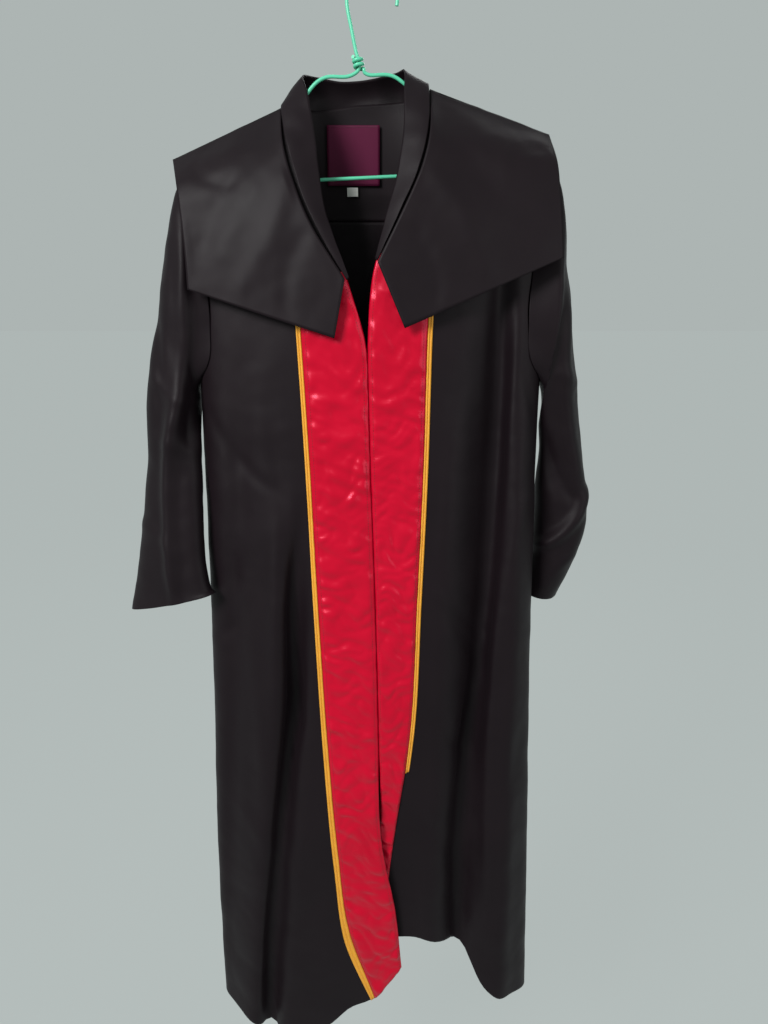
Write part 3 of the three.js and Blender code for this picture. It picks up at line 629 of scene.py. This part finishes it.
# ---- materials ----
def woven(name, low, high, roughness, sheen=0.0, specular=0.5, weave=1700.0, bump=0.12, mottle=9.0):
    """Cloth with slow colour variation and a fine diagonal weave."""
    material = bpy.data.materials.new(name)
    material.use_nodes = True
    nodes, links = material.node_tree.nodes, material.node_tree.links
    shader = nodes["Principled BSDF"]
    shader.inputs["Sheen Weight"].default_value = sheen
    shader.inputs["Sheen Roughness"].default_value = 0.45
    shader.inputs["Specular IOR Level"].default_value = specular
    place = nodes.new("ShaderNodeTexCoord")
    cloud = nodes.new("ShaderNodeTexNoise")
    cloud.inputs["Scale"].default_value = mottle
    cloud.inputs["Detail"].default_value = 5
    links.new(place.outputs["Object"], cloud.inputs["Vector"])
    tint = nodes.new("ShaderNodeMix")
    tint.data_type = "RGBA"
    tint.inputs[6].default_value = (*low, 1)
    tint.inputs[7].default_value = (*high, 1)
    links.new(cloud.outputs["Fac"], tint.inputs[0])
    links.new(tint.outputs[2], shader.inputs["Base Color"])
    rough = nodes.new("ShaderNodeMapRange")
    rough.inputs["To Min"].default_value = roughness - 0.05
    rough.inputs["To Max"].default_value = roughness + 0.06
    links.new(cloud.outputs["Fac"], rough.inputs["Value"])
    links.new(rough.outputs["Result"], shader.inputs["Roughness"])
    weft = nodes.new("ShaderNodeTexWave")
    weft.bands_direction = "DIAGONAL"
    weft.inputs["Scale"].default_value = weave
    weft.inputs["Distortion"].default_value = 1.2
    links.new(place.outputs["Object"], weft.inputs["Vector"])
    relief = nodes.new("ShaderNodeBump")
    relief.inputs["Strength"].default_value = bump
    relief.inputs["Distance"].default_value = 0.0004
    links.new(weft.outputs["Fac"], relief.inputs["Height"])
    links.new(relief.outputs["Normal"], shader.inputs["Normal"])
    return material


BLACK = woven("black_polyester", (0.0052, 0.0030, 0.0042), (0.0088, 0.0050, 0.0068), 0.50,
              sheen=0.008, specular=0.13)
SATIN = woven("crimson_satin", (0.37, 0.0004, 0.0120), (0.50, 0.0008, 0.020), 0.29, sheen=0.0, specular=0.72,
              weave=2300, bump=0.05)
GOLD = woven("golden_piping", (0.66, 0.27, 0.015), (0.80, 0.38, 0.03), 0.42, weave=900, bump=0.5, mottle=60)
BURGUNDY = woven("burgundy_label", (0.060, 0.0025, 0.021), (0.085, 0.0045, 0.030), 0.5,
                 specular=0.18, weave=1500, bump=0.3)
BURGUNDY_EDGE = woven("label_edge", (0.045, 0.002, 0.014), (0.06, 0.003, 0.02), 0.6, weave=1200, bump=0.4)
WHITE_TAPE = woven("white_tape", (0.66, 0.66, 0.62), (0.74, 0.74, 0.70), 0.6, weave=1500, bump=0.3)
BLACK_THREAD = woven("black_thread", (0.006, 0.005, 0.005), (0.010, 0.008, 0.009), 0.6, weave=2500)
SATIN.node_tree.nodes["Principled BSDF"].inputs["Specular Tint"].default_value = (1.0, 0.22, 0.32, 1)
RED_THREAD = woven("red_thread", (0.24, 0.002, 0.010), (0.30, 0.003, 0.014), 0.5, weave=2500)
WIRE = woven("green_coating", (0.07, 0.42, 0.25), (0.10, 0.52, 0.33), 0.34, weave=90, bump=0.04)


# ---- the gown's pieces ----
def keep_front(points):
    """Front cloth stays in front of the middle plane."""
    points[..., 1] = np.minimum(points[..., 1], -SEAM / 2)
    return points


def keep_back(points):
    """Back cloth stays behind the middle plane."""
    points[..., 1] = np.maximum(points[..., 1], SEAM / 2)
    return points


# the satin starts this far down the front's top stretch, under the cape
BAND_START = dict(left=0.74, right=0.68)
FRONT_SEED = dict(left=3.7, right=8.2)
SATIN_SEED = dict(left=2.4, right=7.9)
# the cloth's creases fade in over this many columns beyond the piping
CREASE_COLUMNS = 5
# two round cords side by side: least height, rise and roundness
CORD_BASE = 0.5
CORD_RISE = 1.5
CORD_ROUNDNESS = 0.6
# rows of stitches run this many columns inside the band's edges
STITCH_COLUMN = 2


def make_front(name, side):
    """A front with its satin band, its piping and the band's two rows of stitches."""
    plain = front_grid(side)
    columns = plain.shape[1]
    draped = drape(plain, CREASES_FRONT, FRONT_SEED[name])
    # the cloth lies still under its satin, so the band keeps its own distance from it
    under = np.arange(columns)
    under = under if side > 0 else columns - 1 - under
    share = ease((under - BAND_COLUMNS - 1) / CREASE_COLUMNS)[None, :, None]
    front = plain + (draped - plain) * share
    first = int(TOP_ROWS * BAND_START[name])
    if side < 0:
        band = front[first:, columns - 1 - BAND_COLUMNS:]
        edge = front[first:, columns - 2 - BAND_COLUMNS:columns - BAND_COLUMNS]
    else:
        band = front[first:, :BAND_COLUMNS + 1]
        edge = front[first:, BAND_COLUMNS:BAND_COLUMNS + 2]
        edge = edge[edge[:, 0, 2] > RIGHT_PIPING_END]
    satin = moved(band, SEAM + TRIM + pucker(band, SATIN_SEED[name]))
    u = np.linspace(0, 1, PIPING_COLUMNS + 1)
    cords = CORD_BASE + CORD_RISE * np.abs(np.sin(2 * np.pi * u)) ** CORD_ROUNDNESS
    run = np.stack([mix(edge[:, 0], edge[:, 1], t) for t in u], axis=1)
    run = moved(run, SEAM + np.broadcast_to(cords, run.shape[:2]))
    piping = finish_piece(shell(f"piping_{name}_cords", run, PIPING_WALL), GOLD, "piping", f"piping_{name}")
    outwards = normals(satin)
    lines = (STITCH_COLUMN, -1 - STITCH_COLUMN)
    rows = [stitches(f"stitches_band_{name}_{k}", satin[:, j], outwards[:, j], RED_THREAD, "satin")
            for k, j in enumerate(lines if side < 0 else lines[::-1])]
    cloth_piece(f"front_{name}", front, CLOTH, BLACK, "cloth", limit=keep_front)
    cloth_piece(f"satin_band_{name}", satin, SATIN_WALL, SATIN, "satin")


CUFF_STITCHES = 0.965


def make_sleeve(name, side):
    grid = drape(sleeve_grid(side), CREASES_SLEEVE, 12.0 + side, height=1.6, closed=True)
    row = int(grid.shape[0] * CUFF_STITCHES)
    outwards = normals(grid, closed=True)[row]
    sew = stitches(f"stitches_cuff_{name}", grid[row], outwards, BLACK_THREAD, "cloth")
    cloth_piece(f"sleeve_{name}", grid, CLOTH, BLACK, "cloth", closed=True)


COLLAR_RIPPLE = 22.0
COLLAR_RIPPLE_HEIGHT = 1.2
COLLAR_SEED = 41.0
BORDER_POINTS = 20
STITCH_LIFT = 0.95


def make_cape():
    for name, inner, outer, seed in (("left", CAPE_LEFT_INNER, CAPE_LEFT_OUTER, 21.0),
                                     ("right", CAPE_RIGHT_INNER, CAPE_RIGHT_OUTER, 27.0)):
        grid = drape(cape_front_grid(inner, outer), CREASES_CAPE, seed, height=1.3)
        cloth_piece(f"cape_{name}", grid, CLOTH, BLACK, "cloth", limit=keep_front)
    grid = drape(cape_back_grid(), CREASES_CAPE, 33.0, height=1.5)
    cloth_piece("cape_back", grid, CLOTH, BLACK, "cloth", limit=keep_back)


def make_collar():
    grid = collar_grid()
    swell = ripple(grid, COLLAR_RIPPLE, COLLAR_RIPPLE_HEIGHT, COLLAR_SEED)
    cloth_piece("collar_band", moved(grid, swell), COLLAR, BLACK, "cloth")


def make_label():
    """The bare neck label with a row of stitches inside its edge, and the bare size tag below it."""
    label = shell("neck_label_cloth", patch_grid(LABEL), PATCH_WALL)
    finish_piece(label, BURGUNDY, "label", "neck_label")
    left, right = LABEL["left"] + LABEL_HEM, LABEL["right"] - LABEL_HEM
    top, low = LABEL["top"] - LABEL_HEM, LABEL["low"] + LABEL_HEM
    corners = ((left, top), (right, top), (right, low), (left, low), (left, top))
    t = np.linspace(0, 1, BORDER_POINTS)
    line = np.concatenate([inside_yoke(mix(a[0], b[0], t), mix(a[1], b[1], t), PATCH_INSET + STITCH_LIFT)
                           for a, b in zip(corners, corners[1:])])
    towards_wearer = line * 0 + np.array([0, -1, 0])
    stitches("stitches_label", line, towards_wearer, BURGUNDY_EDGE, "label", pitch=2.4, length=1.7)
    tag = shell("size_tag_cloth", patch_grid(TAG), PATCH_WALL)
    finish_piece(tag, WHITE_TAPE, "tag", "size_tag")


# the hook's arc in degrees, and the neck that runs from the twist up to it
HOOK_START, HOOK_STOP, HOOK_STEP = -12, 183, 14
NECK_WIRE = dict(z=[-92, -76, -60], x=[-14, -17.5, -21])
TWIST_POINTS = 21
TWIST_PER_TURN = 8
TWIST_GAP = 0.6
TWIST_SPACE = 0.8


def make_hanger():
    """One coated wire: the hook, its neck, the bent frame, and the end twisted round the neck."""
    bend = HOOK_RADIUS + WIRE_RADIUS
    points = []
    for angle in range(HOOK_START, HOOK_STOP, HOOK_STEP):
        a = math.radians(angle)
        points.append((bend * math.cos(a), 0, -HOOK_RADIUS + bend * math.sin(a)))
    points += [(x, 0, z) for x, z in zip(NECK_WIRE["x"][:0:-1], NECK_WIRE["z"][:0:-1])]
    points += [(x, 0, z) for x, z in HANGER_FRAME]
    reach = 2 * WIRE_RADIUS + TWIST_GAP
    for k in range(TWIST_POINTS):
        a = k / TWIST_PER_TURN * 2 * math.pi
        z = NECK_WIRE["z"][0] + k / TWIST_PER_TURN * (2 * WIRE_RADIUS + TWIST_SPACE)
        x = float(np.interp(z, NECK_WIRE["z"], NECK_WIRE["x"]))
        points.append((x + reach * math.cos(a), reach * math.sin(a), z))
    curve = bpy.data.curves.new("hanger_wire", "CURVE")
    curve.dimensions = "3D"
    curve.bevel_depth = WIRE_RADIUS * MM
    curve.bevel_resolution = 4
    curve.use_fill_caps = True
    spline = curve.splines.new("BEZIER")
    spline.bezier_points.add(len(points) - 1)
    for knot, point in zip(spline.bezier_points, points):
        knot.co = Vector(point) * MM
        knot.handle_left_type = knot.handle_right_type = "AUTO"
    wire = bpy.data.objects.new("hanger_wire", curve)
    bpy.context.collection.objects.link(wire)
    finish_piece(wire, WIRE, "wire", "hanger")


def dye_zip():
    """The zip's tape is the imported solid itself, in the band's red."""
    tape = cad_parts["zip"]
    tape.data.materials.clear()
    tape.data.materials.append(RED_THREAD)


for side_name, side_sign in (("left", -1), ("right", 1)):
    make_front(side_name, side_sign)
    make_sleeve(side_name, side_sign)
make_cape()
cloth_piece("back_yoke", yoke_grid(), CLOTH, BLACK, "cloth", limit=keep_back)
cloth_piece("back", drape(back_grid(), CREASES_BACK, 15.0), CLOTH, BLACK, "cloth", limit=keep_back)
make_collar()
make_label()
make_hanger()
dye_zip()


# ---- stage, light and camera ----
WALL = (0.44, 0.485, 0.475)
FLOOR_BELOW = 0.42
FLOOR_SIZE = 60
# the floor glows nearly as bright as the room, so that it runs into the wall
FLOOR_GLOW = 0.92
ROOM_GLOW = 0.95


def make_stage():
    floor_z = CAD_BOX[0][2] - FLOOR_BELOW
    bpy.ops.mesh.primitive_plane_add(size=FLOOR_SIZE, location=(0, 0, floor_z))
    floor = bpy.context.object
    floor.name = "floor"
    material = bpy.data.materials.new("pale_floor")
    material.use_nodes = True
    shader = material.node_tree.nodes["Principled BSDF"]
    shader.inputs["Base Color"].default_value = (0.05, 0.055, 0.054, 1)
    shader.inputs["Roughness"].default_value = 0.9
    shader.inputs["Specular IOR Level"].default_value = 0.0
    shader.inputs["Emission Color"].default_value = (*WALL, 1)
    shader.inputs["Emission Strength"].default_value = FLOOR_GLOW
    floor.data.materials.append(material)
    world = bpy.data.worlds.new("soft_room")
    bpy.context.scene.world = world
    world.use_nodes = True
    background = world.node_tree.nodes["Background"]
    background.inputs["Color"].default_value = (*WALL, 1)
    background.inputs["Strength"].default_value = ROOM_GLOW


# lights in metres and watts, each turned towards its target
LIGHTS = [
    dict(name="window", place=(-1.5, -2.0, 0.9), target=(0, 0, -0.6), size=0.9, power=95),
    dict(name="room", place=(1.9, -1.5, -0.1), target=(0, 0, -0.7), size=1.6, power=16),
    dict(name="behind", place=(0.4, 2.2, 0.8), target=(0, 0, -0.7), size=1.8, power=30)]


def area_light(name, place, target, size, power):
    light = bpy.data.lights.new(name, "AREA")
    light.size = size
    light.energy = power
    lamp = bpy.data.objects.new(name, light)
    lamp.location = place
    lamp.rotation_euler = (Vector(target) - Vector(place)).to_track_quat("-Z", "Y").to_euler()
    bpy.context.collection.objects.link(lamp)


EYE = (0.013, -0.950, -0.328)
PITCH_DOWN = 16
SENSOR = 36
LENS = 27.035


def make_camera():
    camera = bpy.data.cameras.new("camera")
    camera.sensor_width = SENSOR
    camera.lens = LENS
    eye = bpy.data.objects.new("camera", camera)
    eye.location = EYE
    eye.rotation_euler = (math.radians(90 - PITCH_DOWN), 0, 0)
    bpy.context.collection.objects.link(eye)
    bpy.context.scene.camera = eye


make_stage()
for light_facts in LIGHTS:
    area_light(**light_facts)
make_camera()
bpy.context.scene.view_settings.view_transform = "Standard"
